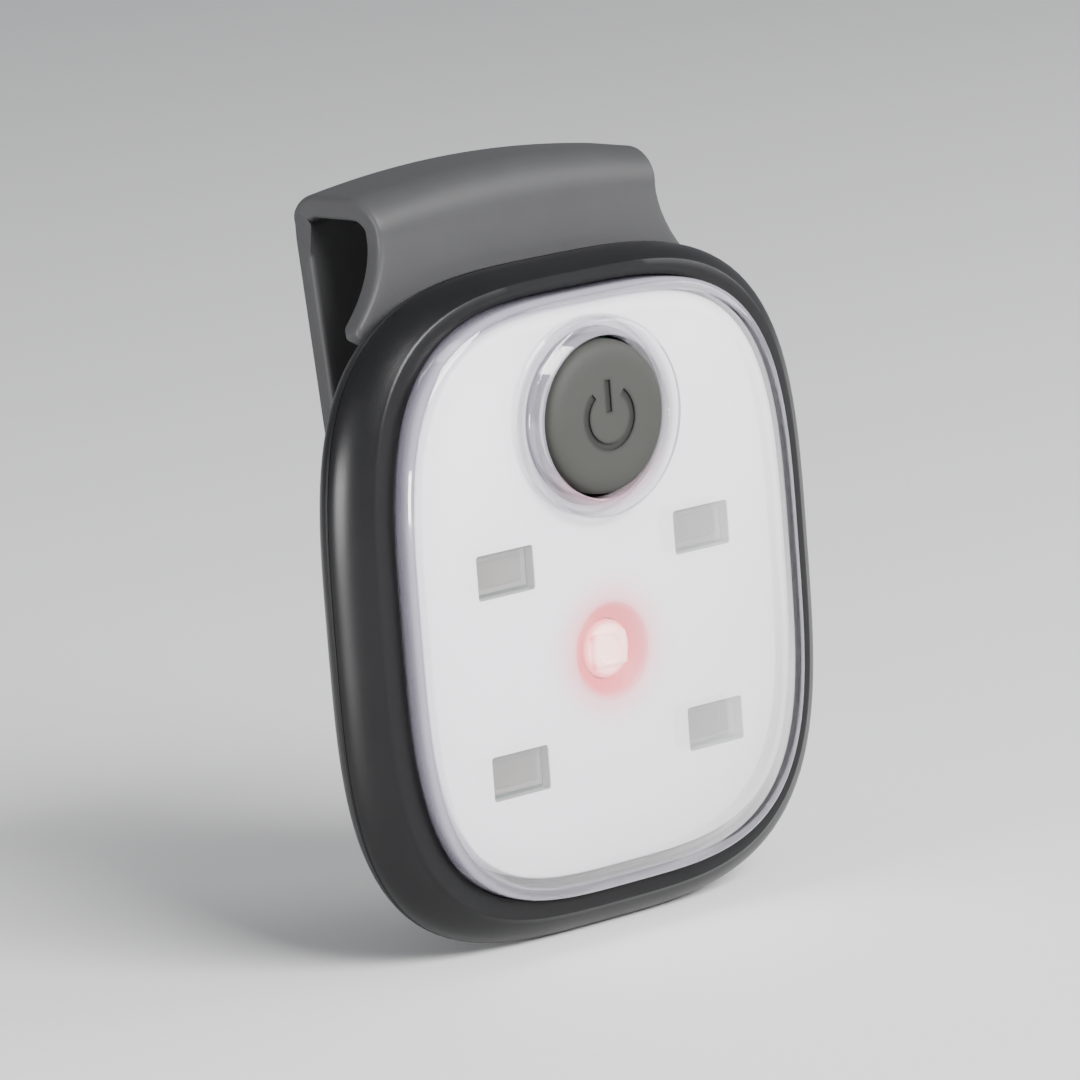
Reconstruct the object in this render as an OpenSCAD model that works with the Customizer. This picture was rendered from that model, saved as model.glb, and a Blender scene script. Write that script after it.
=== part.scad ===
// Clip-on safety light: a rounded head with a clear lens over a white plate,
// four white LEDs, one red LED and a power button, and a clip that hooks over a hem.
// Units are mm. +Z is up, -Y is the lit front, +X is the viewer's right.
// Shapes are laid out from the red LED; seat() then moves them so that the
// origin is the middle of the underside of the clip's roof, where a hem sits.

/* [Head] */
// Width over the widest line of the head
head_w = 49.5; // [47:0.5:53]
// Height over the widest line of the head
head_h = 54.5; // [52:0.5:58]
// Squareness of the outline: 2 is an ellipse, higher is squarer
corner_power = 3.4; // [3:0.1:4.2]
// Height of the head's centre above the red LED
head_rise = 4.4; // [3:0.1:6]
// Depth of the parting line behind the white plate's face
parting_y = 4.5; // [4.2:0.1:5]
// Depth of the flat back behind the white plate's face
back_y = 13.75; // [13:0.25:15]

/* [Lens] */
// Width of the clear lens
lens_w = 40.8; // [40:0.2:44]
// Height of the clear lens
lens_h = 48.4; // [46:0.2:51]
// Thickness of the lens in front of the plate
lens_t = 0.9; // [0.8:0.1:1.2]
// How far the lens stands in front of the white plate's face
lens_front = 0.8; // [0.8:0.1:1.1]

/* [White plate] */
// Width of the white plate
plate_w = 38.8; // [36:0.2:38.8]
// Height of the white plate
plate_h = 45.6; // [42:0.2:45.6]
// Sideways distance of the white LEDs from the middle
led_x = 10.4; // [9:0.1:12]
// Distance of the white LEDs above and below the red LED
led_z = 8.1; // [7:0.1:9]

/* [Button] */
// Diameter of the button
button_d = 12.4; // [11:0.2:12.4]
// Height of the button above the red LED
button_z = 19; // [18:0.25:20]

/* [Battery] */
// Diameter of each coin cell
cell_d = 20; // [16:4:20]
// Thickness of each coin cell
cell_t = 3.2; // [2.5:0.1:3.2]
// Height of the cells' centre above the red LED
cell_z = 1.5; // [0:0.5:3]
// Diameter of the battery door
door_d = 25; // [24:0.5:26]

/* [Clip] */
// Thickness of the clip
clip_t = 1.9; // [1.6:0.1:2.2]
// Half-width of the neck at its waist
waist = 14.65; // [13:0.25:16]
// Height of the top of the clip above the red LED
clip_top = 39.25; // [38:0.25:42]
// Depth of the clip's front face at its root
neck_y = 6.9; // [6.5:0.1:7.4]
// Depth of the clip's flat outer back face
clip_back = 18; // [17.5:0.25:20]
// Height of the flexing line of the clip above the red LED
flex_z = 34.5; // [34:0.25:35]
// Height of the clip's tip, below the red LED
tip_z = -13; // [-16:0.5:-8]
// How much lower the roof's edges are than its middle
arch = 1.2; // [0:0.1:1.6]

/* [Drawing] */

/* [Hidden] */
$fn = 64;
STEPS = 72;
A = head_w / 2;
B = head_h / 2;
LA = lens_w / 2;
LB = lens_h / 2;
lens_rise = head_rise + 0.65;
seat_y = 13.65;
seat_z = clip_top - clip_t;
screw_x = 16.4;
screw_dz = 18.6;
clip_screw_x = 7;
clip_screw_z = 23.6;
pcb_y = 2.2;
pcb_t = 1;
cell_y = 5.6;
mid_y = clip_back - clip_t / 2;
mid_z = clip_top - clip_t / 2;

module seat() translate([0, -seat_y, -seat_z]) children();

// ---- helpers: everything that runs front to back is drawn along Y ----

module rod(x, z, y0, y1, r) translate([x, y1, z]) rotate([90, 0, 0]) cylinder(r = r, h = y1 - y0);

module block(x0, x1, y0, y1, z0, z1) translate([x0, y0, z0]) cube([x1 - x0, y1 - y0, z1 - z0]);

module slab(y0, y1) translate([0, y1, 0]) rotate([90, 0, 0]) linear_extrude(y1 - y0) children();

// points are [radius, depth]; the axis runs front to back through [x, z]
module turned(x, z, points, start = 0, angle = 360)
    translate([x, 0, z]) rotate([-90, 0, 0]) rotate([0, 0, start])
        rotate_extrude(angle = angle) polygon(points);

module at_corners() for (sx = [-1, 1], sz = [-1, 1])
    translate([sx * screw_x, 0, head_rise + sz * screw_dz]) children();

function sgn_pow(c, p) = (c < 0 ? -1 : 1) * pow(abs(c), p);

// a rounded-square outline with half-sizes a and b, centred at height cz
function outline(a, b, cz, p) = [for (k = [0:STEPS - 1]) let (t = 360 * k / STEPS)
    [a * sgn_pow(cos(t), 2 / p), cz + b * sgn_pow(sin(t), 2 / p)]];

// each ring is [half-width, half-height, centre height, depth]
module loft(rings, p = corner_power) {
    n = STEPS;
    m = len(rings);
    pts = [for (r = rings) for (q = outline(r[0], r[1], r[2], p)) [q[0], r[3], q[1]]];
    sides = [for (i = [0:m - 2]) for (k = [0:n - 1])
        let (j = i + 1, l = (k + 1) % n)
        each [[i * n + k, i * n + l, j * n + l], [i * n + k, j * n + l, j * n + k]]];
    caps = [[for (k = [n - 1:-1:0]) k], [for (k = [0:n - 1]) (m - 1) * n + k]];
    polyhedron(points = pts, faces = concat(sides, caps), convexity = 6);
}

function head_ring(inset, y) = [A - inset, B - inset, head_rise, y];
function lens_ring(inset, y) = [LA - inset, LB - inset, lens_rise, y];

module ring_slab(a, b, cz, wall, y0, y1, p = corner_power)
    slab(y0, y1) difference() {
        polygon(outline(a, b, cz, p));
        polygon(outline(a - wall, b - wall, cz, p));
    }

// ---- head ----

module front_bezel() color([0.05, 0.05, 0.055]) seat() difference() {
    union() {
        difference() {
            loft([lens_ring(-0.4, 1.3), lens_ring(-1, 1.3), [A - 2.15, B - 1.5, head_rise + 0.5, 1.5],
                [A - 1.35, B - 0.95, head_rise + 0.3, parting_y - 2.4],
                [A - 0.55, B - 0.35, head_rise + 0.1, parting_y - 1.5],
                [A - 0.1, B - 0.07, head_rise + 0.02, parting_y - 0.6], head_ring(0, parting_y)]);
            slab(1, 2.6) polygon(outline(LA + 0.15, LB + 0.15, lens_rise, 3.5));
            slab(2, 4) polygon(outline(19.45, 22.25, lens_rise, 3.5));
            slab(3.8, 5) polygon(outline(A - 1.85, B - 1.85, head_rise, corner_power));
        }
        at_corners() rod(0, 0, 2.7, 5.4, 1.9);
    }
    at_corners() rod(0, 0, 3.3, 6, 0.9);
}

module lens() color([0.9, 0.88, 0.95, 0.35]) seat() difference() {
    union() {
        loft([lens_ring(1.2, -lens_front), lens_ring(0.75, 0.07 - lens_front),
            lens_ring(0.38, 0.25 - lens_front), lens_ring(0.12, 0.55 - lens_front),
            lens_ring(0, 1 - lens_front), lens_ring(0, 2.35),
            lens_ring(0.8, 2.35), lens_ring(0.8, lens_t - lens_front)], p = 3.5);
        turned(0, button_z, [[6.5, -0.4], [8, -0.4], [8, -1.05], [7.8, -1.22], [7.5, -1.3],
            [6.8, -1.3], [6.5, -1.18]]);
    }
    rod(0, button_z, -3, 1, 6.5);
}

module lens_gasket() color([0.1, 0.1, 0.1]) seat()
    ring_slab(LA - 0.1, LB - 0.1, lens_rise, 0.8, 2.37, 2.58);

module reflector_plate() color([0.92, 0.91, 0.94]) seat() difference() {
    slab(0.3, 2.18) polygon(outline(plate_w / 2, plate_h / 2, lens_rise + 0.3, 3.5));
    slab(1.3, 3) polygon(outline(plate_w / 2 - 0.9, plate_h / 2 - 0.9, lens_rise + 0.3, 3.5));
    for (sx = [-1, 1], sz = [-1, 1])
        block(sx * led_x - 2.95, sx * led_x + 2.95, -1, 2, sz * led_z - 1.8, sz * led_z + 1.8);
    turned(0, 0, [[0, 0.2], [3.8, 0.2], [2.4, 1.4], [0, 1.4]]);
    rod(0, button_z, -1, 2, 7.2);
}

module power_button() color([0.3, 0.3, 0.31]) seat() difference() {
    turned(0, button_z, [[0, -1.6], [4.6, -1.6], [5.55, -1.42], [6.05, -1.02], [button_d / 2, -0.5],
        [button_d / 2, 0.6], [5, 0.6], [5, -0.7], [1.6, -0.7], [1.6, -0.4], [0, -0.4]]);
    turned(0, button_z, [[2.1, -3], [2.65, -3], [2.65, -1.42], [2.1, -1.42]], -52, 284);
    block(-0.28, 0.28, -3, -1.42, button_z + 0.4, button_z + 3);
}

module button_seal() color([0.12, 0.12, 0.12]) seat()
    turned(0, button_z, [[6.5, 0.15], [7.1, 0.15], [7.1, 1.25], [6.5, 1.25]]);

module rear_shell() color([0.05, 0.05, 0.055]) seat() difference() {
    loft([head_ring(2.75, 4.15), head_ring(1.95, 4.15), head_ring(1.95, 4.6),
        head_ring(0, 4.6), head_ring(0.05, 5.1), head_ring(0.45, 6), head_ring(1.25, 7),
        head_ring(2.95, 9), head_ring(4.75, 11), head_ring(6.3, back_y - 0.8),
        head_ring(7, back_y - 0.25), head_ring(7.7, back_y)]);
    difference() {
        loft([head_ring(2.75, 4), head_ring(2.75, 6.5), head_ring(4.6, 9), head_ring(6.4, 11),
            head_ring(7.6, back_y - 1.6)]);
        at_corners() rod(0, 0, 5.45, 12, 2.7);
        for (s = [-1, 1]) {
            rod(s * clip_screw_x, clip_screw_z, 8.75, 13, 2.1);
            rod(s * 16, head_rise, 3.25, 13, 1.3);
        }
    }
    at_corners() {
        rod(0, 0, 5, 7, 0.95);
        rod(0, 0, 6.6, 15, 1.8);
    }
    for (s = [-1, 1]) rod(s * clip_screw_x, clip_screw_z, 8, 11.6, 0.9);
    block(-11.2, 11.2, 7.1, 8.85, 22, 34);
    rod(0, cell_z, 11, 15, door_d / 2 + 0.15);
    for (a = [40, 220])
        turned(0, cell_z, [[10, 11], [13.9, 11], [13.9, 15], [10, 15]], a - 18, 36);
}

module housing_seal() color([0.1, 0.1, 0.1]) seat()
    ring_slab(A - 1.95, B - 1.95, head_rise, 0.75, 3.82, 4.13);

module housing_screws() color([0.5, 0.5, 0.52]) seat() at_corners() difference() {
    turned(0, 0, [[0, 3.5], [0.85, 3.8], [0.85, 6.6], [1.6, 6.6], [1.6, 7.4], [1.2, 7.8], [0, 7.8]]);
    block(-0.9, 0.9, 7.2, 8, -0.2, 0.2);
    block(-0.2, 0.2, 7.2, 8, -0.9, 0.9);
}

// ---- electronics ----

module circuit_board() color([0.05, 0.25, 0.12]) seat() difference() {
    slab(pcb_y, pcb_y + pcb_t) polygon(outline(18.6, 21.4, lens_rise, 3.5));
    at_corners() rod(0, 0, 1, 5, 2.2);
}

module white_led(x, z) seat() difference() {
    block(x - 2.85, x + 2.85, 1.25, pcb_y, z - 1.5, z + 1.5);
    block(x - 2.35, x + 2.35, 1, 1.37, z - 1.1, z + 1.1);
}

module led_upper_left() color([0.75, 0.72, 0.62]) white_led(-led_x, led_z);

module led_upper_right() color([0.75, 0.72, 0.62]) white_led(led_x, led_z);

module led_lower_left() color([0.75, 0.72, 0.62]) white_led(-led_x, -led_z);

module led_lower_right() color([0.75, 0.72, 0.62]) white_led(led_x, -led_z);

module red_led() color([1, 0.3, 0.4]) seat() difference() {
    block(-1.75, 1.75, 0.4, pcb_y, -1.4, 1.4);
    turned(0, 0, [[0, 0.2], [1.25, 0.2], [1.0, 0.7], [0, 0.7]]);
}

module tact_switch() color([0.25, 0.25, 0.26]) seat() difference() {
    block(-2.6, 2.6, 0.7, pcb_y, button_z - 2.6, button_z + 2.6);
    rod(0, button_z, 0, 1.95, 1.35);
}

module switch_plunger() color([0.85, 0.85, 0.85]) seat()
    turned(0, button_z, [[0, 0.2], [0.9, 0.2], [1.15, 0.35], [1.15, 1.6], [0, 1.6]]);

module control_chip() color([0.06, 0.06, 0.06]) seat() {
    block(-10.45, -6.55, 3.35, 4.8, -15.65, -10.75);
    for (i = [-1.5:1:1.5], s = [-1, 1]) {
        x0 = -8.5 + s * 2.5;
        block(x0 - 0.65, x0 + 0.65, pcb_y + pcb_t, 4, i * 1.27 - 13.4, i * 1.27 - 13);
    }
}

module chip_resistors() color([0.1, 0.1, 0.1]) seat()
    for (x = [3:2:9]) block(x - 0.4, x + 0.4, pcb_y + pcb_t, 3.65, -14.2, -12.6);

module battery_holder() color([0.12, 0.12, 0.13]) seat() difference() {
    turned(0, cell_z, [[9, 3.25], [13, 3.25], [13, 4.1], [11.5, 4.1], [11.5, 10.7], [10.5, 10.7],
        [10.5, 5.5], [9, 5.5]]);
    block(-1.7, 1.7, 3, 9.3, cell_z - 15.5, cell_z - 9.9);
}

module coin_cell(y) seat() turned(0, cell_z, [[0, y], [8.6, y], [8.9, y + 0.25], [cell_d / 2 - 0.3, y + 0.35],
    [cell_d / 2, y + 0.7], [cell_d / 2, y + cell_t - 0.25], [cell_d / 2 - 0.25, y + cell_t - 0.02],
    [0, y + cell_t - 0.02]]);

module coin_cell_front() color([0.75, 0.75, 0.77]) coin_cell(cell_y);

module coin_cell_rear() color([0.75, 0.75, 0.77]) coin_cell(cell_y + cell_t);

module strip(half, points) seat() translate([-half, 0, 0])
    rotate([90, 0, 90]) linear_extrude(2 * half) polygon(points);

module contact_positive() color([0.8, 0.75, 0.5]) let (z = cell_z - cell_d / 2)
    strip(1.3, [[3.25, z - 2.6], [3.5, z - 2.6], [3.5, z - 0.35], [9, z - 0.35], [9, z - 0.05], [3.25, z - 0.05]]);

module contact_negative() color([0.8, 0.75, 0.5])
    strip(1.8, [[3.25, -5], [3.25, -1], [5.3, 4], [5.3, 6], [5.55, 6], [5.55, 3.9], [3.5, -1.1], [3.5, -5]]);

// ---- battery door ----

module battery_door() color([0.06, 0.06, 0.065]) seat() let (r = door_d / 2) difference() {
    union() {
        turned(0, cell_z, [[0, 12.1], [10.9, 12.1], [10.9, 10.9], [11.9, 10.9], [11.9, 12.1],
            [r - 0.05, 12.1], [r - 0.05, 12.5], [11.95, 12.5], [11.95, 13.2], [r - 0.05, 13.2],
            [r - 0.05, back_y - 0.2], [r - 0.25, back_y], [0, back_y]]);
        for (a = [0, 180])
            turned(0, cell_z, [[11.4, 11], [13.6, 11], [13.6, 11.8], [11.4, 11.8]], a - 15, 30);
    }
    block(-0.8, 0.8, back_y - 0.9, 15, cell_z - 7, cell_z + 7);
}

module door_seal() color([0.1, 0.1, 0.1]) seat() translate([0, 12.85, cell_z])
    rotate([-90, 0, 0]) rotate_extrude() translate([door_d / 2 - 0.2, 0]) circle(r = 0.32, $fn = 24);

// ---- clip: one bent strip, drawn as two pieces that meet at the flexing line ----

function arc(cy, cz, r, a0, a1, n) = [for (k = [0:n]) let (a = a0 + (a1 - a0) * k / n)
    [cy + r * cos(a), cz + r * sin(a)]];

function smooth(t) = let (u = min(1, max(0, t))) u * u * (3 - 2 * u);

function neck_half(z) = z < 35 ? waist + 0.073 * pow(35 - z, 2) : waist + 0.02 * pow(z - 35, 2);

// below this height the root stays inside the head's own outline
function root_half(z) = z > 28 ? neck_half(z) : min(neck_half(z), (A - 0.4) *
    pow(1 - pow((z - head_rise) / (B - 0.2), corner_power), 1 / corner_power));

function arm_half(z) = let (w = 11.6 + 3.2 * min(1, max(0, (z + 7) / (flex_z + 7))), e = max(0, tip_z + 6 - z))
    w - 6 + sqrt(max(0, 36 - e * e));

// points are [front or outer y, z, back or inner y, z, half-width, arch weight]
module ribbon(rows) {
    n = 16;
    w = 2 * (n + 1);
    m = len(rows);
    pts = [for (r = rows) each concat(
        [for (i = [0:n]) let (s = 2 * i / n - 1) [s * r[4], r[0], r[1] - arch * s * s * r[5]]],
        [for (i = [n:-1:0]) let (s = 2 * i / n - 1) [s * r[4], r[2], r[3] - arch * s * s * r[5]]])];
    sides = [for (j = [0:m - 2]) for (k = [0:w - 1]) let (l = (k + 1) % w)
        each [[j * w + k, (j + 1) * w + l, j * w + l], [j * w + k, (j + 1) * w + k, (j + 1) * w + l]]];
    caps = [[for (k = [0:w - 1]) k], [for (k = [w - 1:-1:0]) (m - 1) * w + k]];
    polyhedron(points = pts, faces = concat(sides, caps), convexity = 8);
}

function ribbon_rows(path, halves, weights, t) = [for (j = [0:len(path) - 1])
    let (p = path[max(0, j - 1)], q = path[min(len(path) - 1, j + 1)],
        d = (q - p) / norm(q - p), c = path[j])
    [c[0] - d[1] * t / 2, c[1] + d[0] * t / 2, c[0] + d[1] * t / 2, c[1] - d[0] * t / 2,
        halves[j], weights[j]]];

module clip_bridge() color([0.16, 0.16, 0.17]) seat() {
    y0 = neck_y + clip_t / 2;
    neck = [for (z = [26.5:1.8:35.5]) [y0 + 0.055 * (z - 26.5), z]];
    y1 = y0 + 0.055 * 9.5;
    path = concat(neck, arc(y1 + 2.25, mid_z - 2.25, 2.25, 180, 90, 6), [[13, mid_z]],
        arc(mid_y - 1.85, mid_z - 1.85, 1.85, 90, 0, 6), [[mid_y, flex_z + 1.2], [mid_y, flex_z]]);
    last = len(neck) + 7;
    halves = [for (j = [0:len(path) - 1]) j < last ? root_half(path[j][1]) : waist + 0.2];
    weights = [for (j = [0:len(path) - 1]) j < last ? smooth((path[j][1] - 33) / (mid_z - 33))
        : smooth((path[j][1] - 35) / (mid_z - 35))];
    difference() {
        union() {
            resize([0, 0, 0]) difference() {
                ribbon(ribbon_rows(path, halves, weights, clip_t));
                loft([head_ring(-0.06, 4), head_ring(-0.01, 5.1), head_ring(0.39, 6), head_ring(1.19, 7),
                    head_ring(2.89, 9), head_ring(4.69, 11), head_ring(6.24, 13)]);
            }
            block(-11, 11, 7.4, 8.7, 20.6, 33);
        }
        translate([-20, mid_y, flex_z]) rotate([0, 90, 0]) cylinder(r = clip_t / 2 + 0.06, h = 40);
        for (s = [-1, 1]) rod(s * clip_screw_x, clip_screw_z, 6, 10, 1.1);
    }
}

module clip_arm() color([0.16, 0.16, 0.17]) seat() {
    zs = [tip_z, tip_z + 0.5, -12, -11, -10, -9, -8, -7, flex_z];
    intersection() {
        slab(10, 25) polygon(concat([for (z = zs) [arm_half(z), z]],
            [for (i = [len(zs) - 1:-1:0]) [-arm_half(zs[i]), zs[i]]]));
        translate([-20, 0, 0]) rotate([90, 0, 90]) linear_extrude(40) polygon([[clip_back, tip_z],
            [clip_back, flex_z], [clip_back - clip_t, flex_z], [clip_back - clip_t, tip_z + 4],
            [clip_back - clip_t + 1, tip_z]]);
    }
    translate([-14.5, mid_y, flex_z]) rotate([0, 90, 0]) cylinder(r = clip_t / 2 - 0.02, h = 29);
}

module clip_grip_pad() color([0.1, 0.1, 0.1]) seat() let (y = clip_back - clip_t) {
    block(-7, 7, y - 0.5, y - 0.02, -6.5, 2.5);
    for (z = [-5.3, -3, -0.7, 1.6]) block(-6, 6, y - 1, y - 0.4, z - 0.5, z + 0.5);
}

module clip_screws() color([0.5, 0.5, 0.52]) seat() for (s = [-1, 1])
    turned(s * clip_screw_x, clip_screw_z, [[0, 5.9], [1.3, 5.9], [1.75, 6.3], [1.75, 7.22], [0.85, 7.22],
        [0.85, 10.9], [0, 11.3]]);

front_bezel();
lens();
lens_gasket();
reflector_plate();
power_button();
button_seal();
circuit_board();
led_upper_left();
led_upper_right();
led_lower_left();
led_lower_right();
red_led();
tact_switch();
switch_plunger();
control_chip();
chip_resistors();
battery_holder();
coin_cell_front();
coin_cell_rear();
contact_positive();
contact_negative();
rear_shell();
housing_seal();
housing_screws();
battery_door();
door_seal();
clip_bridge();
clip_arm();
clip_grip_pad();
clip_screws();
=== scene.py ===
"""A clip-on safety light: the finished looks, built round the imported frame.

Everything is in metres, in the frame's own axes. Sizes in millimetres are measured from a point
just in front of the white plate, over the red LED: x to the right, y into the light, z up.
"""

import math

import bpy
from mathutils import Matrix, Vector


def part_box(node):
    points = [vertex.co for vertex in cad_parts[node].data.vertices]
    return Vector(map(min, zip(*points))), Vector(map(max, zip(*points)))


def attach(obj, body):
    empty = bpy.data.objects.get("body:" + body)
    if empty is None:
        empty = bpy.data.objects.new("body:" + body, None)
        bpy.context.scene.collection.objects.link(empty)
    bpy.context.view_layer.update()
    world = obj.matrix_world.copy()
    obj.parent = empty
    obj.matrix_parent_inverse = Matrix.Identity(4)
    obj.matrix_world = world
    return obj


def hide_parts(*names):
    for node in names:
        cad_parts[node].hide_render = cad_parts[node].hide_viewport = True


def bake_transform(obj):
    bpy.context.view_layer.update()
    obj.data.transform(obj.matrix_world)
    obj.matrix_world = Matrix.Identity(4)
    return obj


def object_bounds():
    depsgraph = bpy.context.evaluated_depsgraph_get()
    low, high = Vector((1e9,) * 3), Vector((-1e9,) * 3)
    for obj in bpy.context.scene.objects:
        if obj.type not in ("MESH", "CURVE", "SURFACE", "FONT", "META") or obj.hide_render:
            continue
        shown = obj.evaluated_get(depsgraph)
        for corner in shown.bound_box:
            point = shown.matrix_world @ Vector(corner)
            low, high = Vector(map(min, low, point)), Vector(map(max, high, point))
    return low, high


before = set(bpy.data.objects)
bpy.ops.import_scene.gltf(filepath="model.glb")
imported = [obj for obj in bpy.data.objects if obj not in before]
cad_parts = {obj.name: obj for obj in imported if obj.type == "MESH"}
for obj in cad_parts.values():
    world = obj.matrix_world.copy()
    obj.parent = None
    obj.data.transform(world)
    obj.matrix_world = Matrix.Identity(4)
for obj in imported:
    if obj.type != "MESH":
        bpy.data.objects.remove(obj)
cad_low, cad_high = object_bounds()

# ---- Camera, light and floor ----
# A long lens to the left of the light and a little above it, leaning as the light hangs.
MM = 0.001
CAMERA_AZIMUTH = math.radians(-40)
CAMERA_ELEVATION = math.radians(10.4)
CAMERA_LEAN = math.radians(-4.5)
CAMERA_DISTANCE = 0.58
CAMERA_LENS = 240


def clear_selection():
    """Back to object mode with nothing selected, ready for the next primitive."""
    if bpy.context.object and bpy.context.object.mode == "EDIT":
        bpy.ops.object.mode_set(mode="OBJECT")
    bpy.ops.object.select_all(action="DESELECT")


middle = (cad_low + cad_high) / 2
flat_reach = math.cos(CAMERA_ELEVATION)
sight = Vector((
    math.sin(CAMERA_AZIMUTH) * flat_reach,
    -math.cos(CAMERA_AZIMUTH) * flat_reach,
    math.sin(CAMERA_ELEVATION),
))
clear_selection()
bpy.ops.object.camera_add(location=middle + sight * CAMERA_DISTANCE)
camera = bpy.context.object
camera.name = "camera"
camera.data.lens = CAMERA_LENS
camera.data.clip_end = 100
upright = sight.to_track_quat("Z", "Y").to_matrix().to_4x4()
camera.rotation_euler = (upright @ Matrix.Rotation(CAMERA_LEAN, 4, "Z")).to_euler()
bpy.context.scene.camera = camera


def softbox(name, azimuth, elevation, reach, width, height, power):
    """A rectangular lamp that looks at the middle of the light."""
    turn, tilt = math.radians(azimuth), math.radians(elevation)
    away = Vector((
        math.sin(turn) * math.cos(tilt),
        -math.cos(turn) * math.cos(tilt),
        math.sin(tilt),
    ))
    clear_selection()
    bpy.ops.object.light_add(type="AREA", location=middle + away * reach)
    lamp = bpy.context.object
    lamp.name = name
    lamp.data.shape = "RECTANGLE"
    lamp.data.size, lamp.data.size_y = width, height
    lamp.data.energy = power
    lamp.rotation_euler = away.to_track_quat("Z", "Y").to_euler()


softbox("key_light", 2, 34, 0.8, 0.5, 0.4, 20)
softbox("side_light", -84, -1, 0.6, 0.3, 0.2, 9)
softbox("fill_light", 62, 22, 0.9, 0.6, 0.5, 6)

world = bpy.data.worlds.new("studio")
bpy.context.scene.world = world
world.use_nodes = True
world.node_tree.nodes["Background"].inputs["Color"].default_value = (0.93, 0.95, 1.0, 1)
world.node_tree.nodes["Background"].inputs["Strength"].default_value = 0.42


class Wire:
    """A socket's value; arithmetic on it adds Math nodes to its material."""

    def __init__(self, finish, socket):
        self.finish = finish
        self.socket = socket

    def out(self, socket):
        """Another output of the same node."""
        return Wire(self.finish, self.socket.node.outputs[socket])

    def maths(self, operation, *values):
        """The result of a Math node on wires or numbers."""
        return self.finish.add("ShaderNodeMath", {"operation": operation}, dict(enumerate(values)))

    def __add__(self, other):
        return self.maths("ADD", self, other)

    def __sub__(self, other):
        return self.maths("SUBTRACT", self, other)

    def __rsub__(self, other):
        return self.maths("SUBTRACT", other, self)

    def __mul__(self, other):
        return self.maths("MULTIPLY", self, other)

    def __truediv__(self, other):
        return self.maths("DIVIDE", self, other)

    def __pow__(self, other):
        return self.maths("POWER", self, other)

    def __abs__(self):
        return self.maths("ABSOLUTE", self)

    __radd__ = __add__
    __rmul__ = __mul__

    def fade(self, start, end):
        """0 before start, 1 after end, smooth between."""
        settings = {"interpolation_type": "SMOOTHSTEP"}
        low, high, rising = (start, end, 1) if start < end else (end, start, 0)
        sockets = {0: self, 1: low, 2: high, 3: 1 - rising, 4: rising}
        return self.finish.add("ShaderNodeMapRange", settings, sockets)


class Finish:
    """A material whose colour, gloss and grain come from nodes on object coordinates."""

    def __init__(self, name, **constants):
        self.material = bpy.data.materials.new(name)
        self.material.use_nodes = True
        self.tree = self.material.node_tree
        self.surface = self.tree.nodes["Principled BSDF"]
        self.end = self.tree.nodes["Material Output"]
        self.place = self.add("ShaderNodeTexCoord").out("Object")
        for socket, value in constants.items():
            self.surface.inputs[socket.replace("_", " ")].default_value = value

    def add(self, kind, settings=None, sockets=None):
        """Any node: its type, its settings, then the values or wires of its sockets."""
        node = self.tree.nodes.new(kind)
        for key, value in (settings or {}).items():
            setattr(node, key, value)
        for key, value in (sockets or {}).items():
            if isinstance(value, Wire):
                self.tree.links.new(value.socket, node.inputs[key])
            else:
                node.inputs[key].default_value = value
        return Wire(self, node.outputs[0])

    def mix(self, factor, first, second):
        """A colour between first and second."""
        sockets = {0: factor, 6: first, 7: second}
        return self.add("ShaderNodeMix", {"data_type": "RGBA"}, sockets).out(2)

    def noise(self, size, detail=2.0, rough=0.5):
        """Cloudy variation from 0 to 1 whose features are about size millimetres across."""
        sockets = {"Vector": self.place, "Scale": 1 / (size * MM), "Detail": detail, "Roughness": rough}
        return self.add("ShaderNodeTexNoise", None, sockets)

    def drive(self, socket, value):
        """Links a wire to one of the surface's sockets."""
        self.tree.links.new(value.socket, self.surface.inputs[socket])

    def grain(self, height, depth):
        """Raises the surface by height times depth millimetres."""
        sockets = {"Height": height, "Distance": depth * MM, "Strength": 1.0}
        self.drive("Normal", self.add("ShaderNodeBump", None, sockets))

    def axes(self):
        """x, y and z of the surface point, as three wires."""
        split = self.add("ShaderNodeSeparateXYZ", None, {0: self.place})
        return split, split.out(1), split.out(2)

    def paint(self, piece):
        """Gives the finish to a new piece, in place of any other."""
        piece.data.materials.clear()
        piece.data.materials.append(self.material)

    def repaint(self, *nodes):
        """Gives the finish to CAD nodes that stay."""
        for name in nodes:
            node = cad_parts[name]
            if not node.material_slots:
                node.data.materials.append(self.material)
            for slot in node.material_slots:
                slot.material = self.material


FLOOR_SIZE = 30
FLOOR_GAP = 0.02 * MM
clear_selection()
bpy.ops.mesh.primitive_plane_add(size=FLOOR_SIZE, location=(0, 0, cad_low.z - FLOOR_GAP))
floor = bpy.context.object
floor.name = "floor"
floor_paint = Finish("pale_floor", Roughness=0.85)
floor_cloud = floor_paint.noise(400)
floor_paint.drive("Base Color", floor_paint.mix(floor_cloud, (0.60, 0.60, 0.60, 1), (0.63, 0.63, 0.63, 1)))
floor_paint.paint(floor)

# ---- Front bezel ----
# The front half of the black housing, injection moulded in satin plastic. It flares from a thin
# rim round the lens to the widest line of the head, where it meets the rear shell.
red_low, red_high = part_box("red_led")
plate_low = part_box("reflector_plate")[0]
PLATE_SETBACK = 0.3
ORIGIN = Vector((0, plate_low.y - PLATE_SETBACK * MM, (red_low.z + red_high.z) / 2))
HEAD_POWER = 3.4
HEAD_POINTS = 168
SMOOTH_ANGLE = 32


def place(x, y, z):
    """A point given in millimetres from the red LED, in the frame's metres."""
    return ORIGIN + MM * Vector((x, y, z))


def sizes(node):
    """A CAD node's half-width, half-height, centre height, front and back, in millimetres."""
    low, high = ((corner - ORIGIN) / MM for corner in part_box(node))
    return (high.x - low.x) / 2, (high.z - low.z) / 2, (high.z + low.z) / 2, low.y, high.y


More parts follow.
